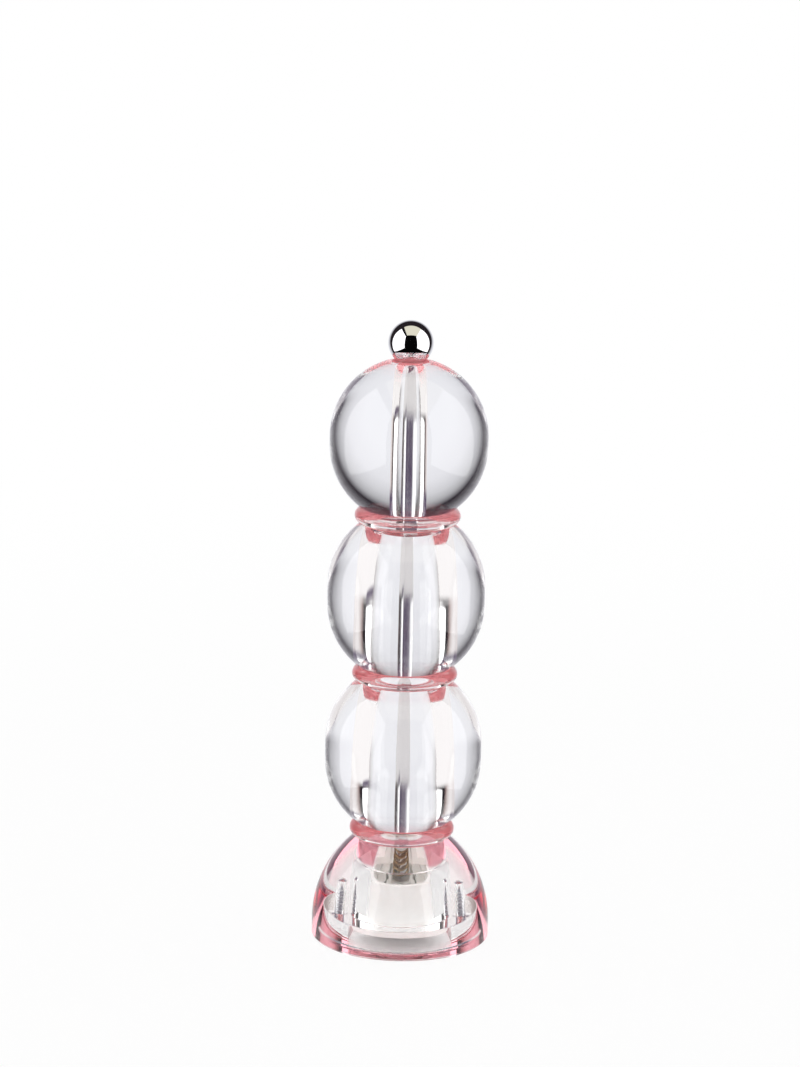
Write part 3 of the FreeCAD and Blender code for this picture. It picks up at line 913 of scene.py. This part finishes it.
def studio_tent():
    """Studio round the mill as glass sees it: the sweep, the table, a soft box each side and a dark gap."""
    sweep_edge = 0.53
    white_below = (-0.4, -0.55)
    mesh = bpy.data.meshes.new("studio_tent")
    shape = bmesh.new()
    bmesh.ops.create_icosphere(shape, subdivisions=TENT_STEPS, radius=TENT_R)
    shape.to_mesh(mesh)
    shape.free()
    obj = add_object("studio_tent", mesh)
    obj.location.z = TENT_HIGH
    obj.visible_camera = obj.visible_diffuse = obj.visible_glossy = False
    obj.visible_shadow = obj.visible_volume_scatter = False

    mat, tree, out = new_material("studio_tent")
    mat.cycles.emission_sampling = "NONE"
    x, y, z, across = directions(tree, "Object")
    sweep = white_sweep(tree, y, z, sweep_edge)
    through = choose(tree, step(tree, z, *white_below), sweep, SWEEP_WHITE)
    inner = tent_mirrored(tree, x, y, z, across)
    path = tree.nodes.new("ShaderNodeLightPath")
    glow = tree.nodes.new("ShaderNodeEmission")
    seen = choose(tree, bounced(tree, path.outputs["Glossy Depth"]), through, inner)
    tree.links.new(seen, glow.inputs["Color"])
    passing = tree.nodes.new("ShaderNodeBsdfTransparent")
    whole = blend(tree, bounced(tree, path.outputs["Diffuse Depth"]), glow, passing)
    tree.links.new(whole.outputs[0], out.inputs["Surface"])
    mesh.materials.append(mat)


def mirrored_room(tree, x, y, z, across):
    """What polished surfaces mirror: a dark front, the sweep behind, soft boxes and a cream panel above."""
    sweep_edge = 0.60
    behind = (0.0, 0.1)
    overhead = (0.2, 0.3)
    box_along, box_rise = (-1.55, 0.31), (-0.6, 1.4)
    panel_across, panel_along = (-0.47, 0.75), (-0.92, 0.28)
    sides = calc(tree, "DIVIDE", y, across)
    rise = calc(tree, "DIVIDE", z, across)
    box = calc(tree, "MULTIPLY", band(tree, sides, *box_along), band(tree, rise, *box_rise))
    panel_x = band(tree, calc(tree, "DIVIDE", x, z), *panel_across)
    panel_y = band(tree, calc(tree, "DIVIDE", y, z), *panel_along)
    panel = calc(tree, "MULTIPLY", calc(tree, "MULTIPLY", panel_x, panel_y), step(tree, z, *overhead))
    room = choose(tree, step(tree, y, *behind), BLACK_FRONT, white_sweep(tree, y, z, sweep_edge))
    room = choose(tree, panel, room, PANEL_CREAM)
    return choose(tree, box, room, BOX_WHITE)


def studio_world():
    """White for the camera, a white, fuller at the sides, that lights the mill, and a room to mirror."""
    world = bpy.data.worlds.new("studio")
    world.use_nodes = True
    tree = world.node_tree
    x, y, z, across = directions(tree, "Generated")
    room = mirrored_room(tree, x, y, z, across)
    path = tree.nodes.new("ShaderNodeLightPath")
    side_light = calc(tree, "ADD", LIGHT_ALL_ROUND, calc(tree, "MULTIPLY", across, LIGHT_AT_SIDES))
    made_up = calc(tree, "ADD", 1.0, calc(tree, "MULTIPLY", path.outputs["Is Transmission Ray"], GLASS_LOSS))
    side_light = calc(tree, "MULTIPLY", side_light, made_up)
    lit = tree.nodes.new("ShaderNodeCombineColor")
    for socket in lit.inputs[:3]:
        tree.links.new(side_light, socket)
    first_look = not_bounced(tree, path.outputs["Diffuse Depth"])
    reflected = calc(tree, "MULTIPLY", path.outputs["Is Glossy Ray"], first_look)
    colour = choose(tree, reflected, lit.outputs[0], room)
    colour = choose(tree, path.outputs["Is Camera Ray"], colour, WHITE)
    tree.links.new(colour, tree.nodes["Background"].inputs["Color"])
    scene.world = world


def photo_camera():
    """Camera of the photograph, with the point aimed at set on its own pixel, and a slight roll."""
    wide, high = 800, 1067  # pixels of the photograph
    aim_x, aim_y = 405.27, 640.13  # pixel of the point aimed at
    focal = 3504.9  # in pixels
    roll_turn = math.radians(1.1054)
    place = Vector((0, -1.2999, 0.43979))
    aim = Vector((0, 0, 0.11725))
    across, down = aim_x - wide / 2, aim_y - high / 2
    data = bpy.data.cameras.new("photo_camera")
    data.sensor_fit = "VERTICAL"
    data.sensor_height = 36.0
    data.lens = focal / high * data.sensor_height
    data.clip_start, data.clip_end = 0.01, 50
    look = (aim - place).to_track_quat("-Z", "Y").to_matrix()
    roll = Matrix.Rotation(roll_turn, 3, "Z")
    off = Vector((across / focal, -down / focal, -1)).rotation_difference(Vector((0, 0, -1))).to_matrix()
    camera = add_object("photo_camera", data)
    camera.matrix_world = Matrix.Translation(place) @ (look @ roll @ off).to_4x4()
    scene.camera = camera


studio_floor()
studio_tent()
studio_world()
photo_camera()
scene.view_settings.view_transform = "Standard"
scene.cycles.max_bounces = 32
scene.cycles.glossy_bounces = 24
scene.cycles.transmission_bounces = 32
scene.cycles.transparent_max_bounces = 48
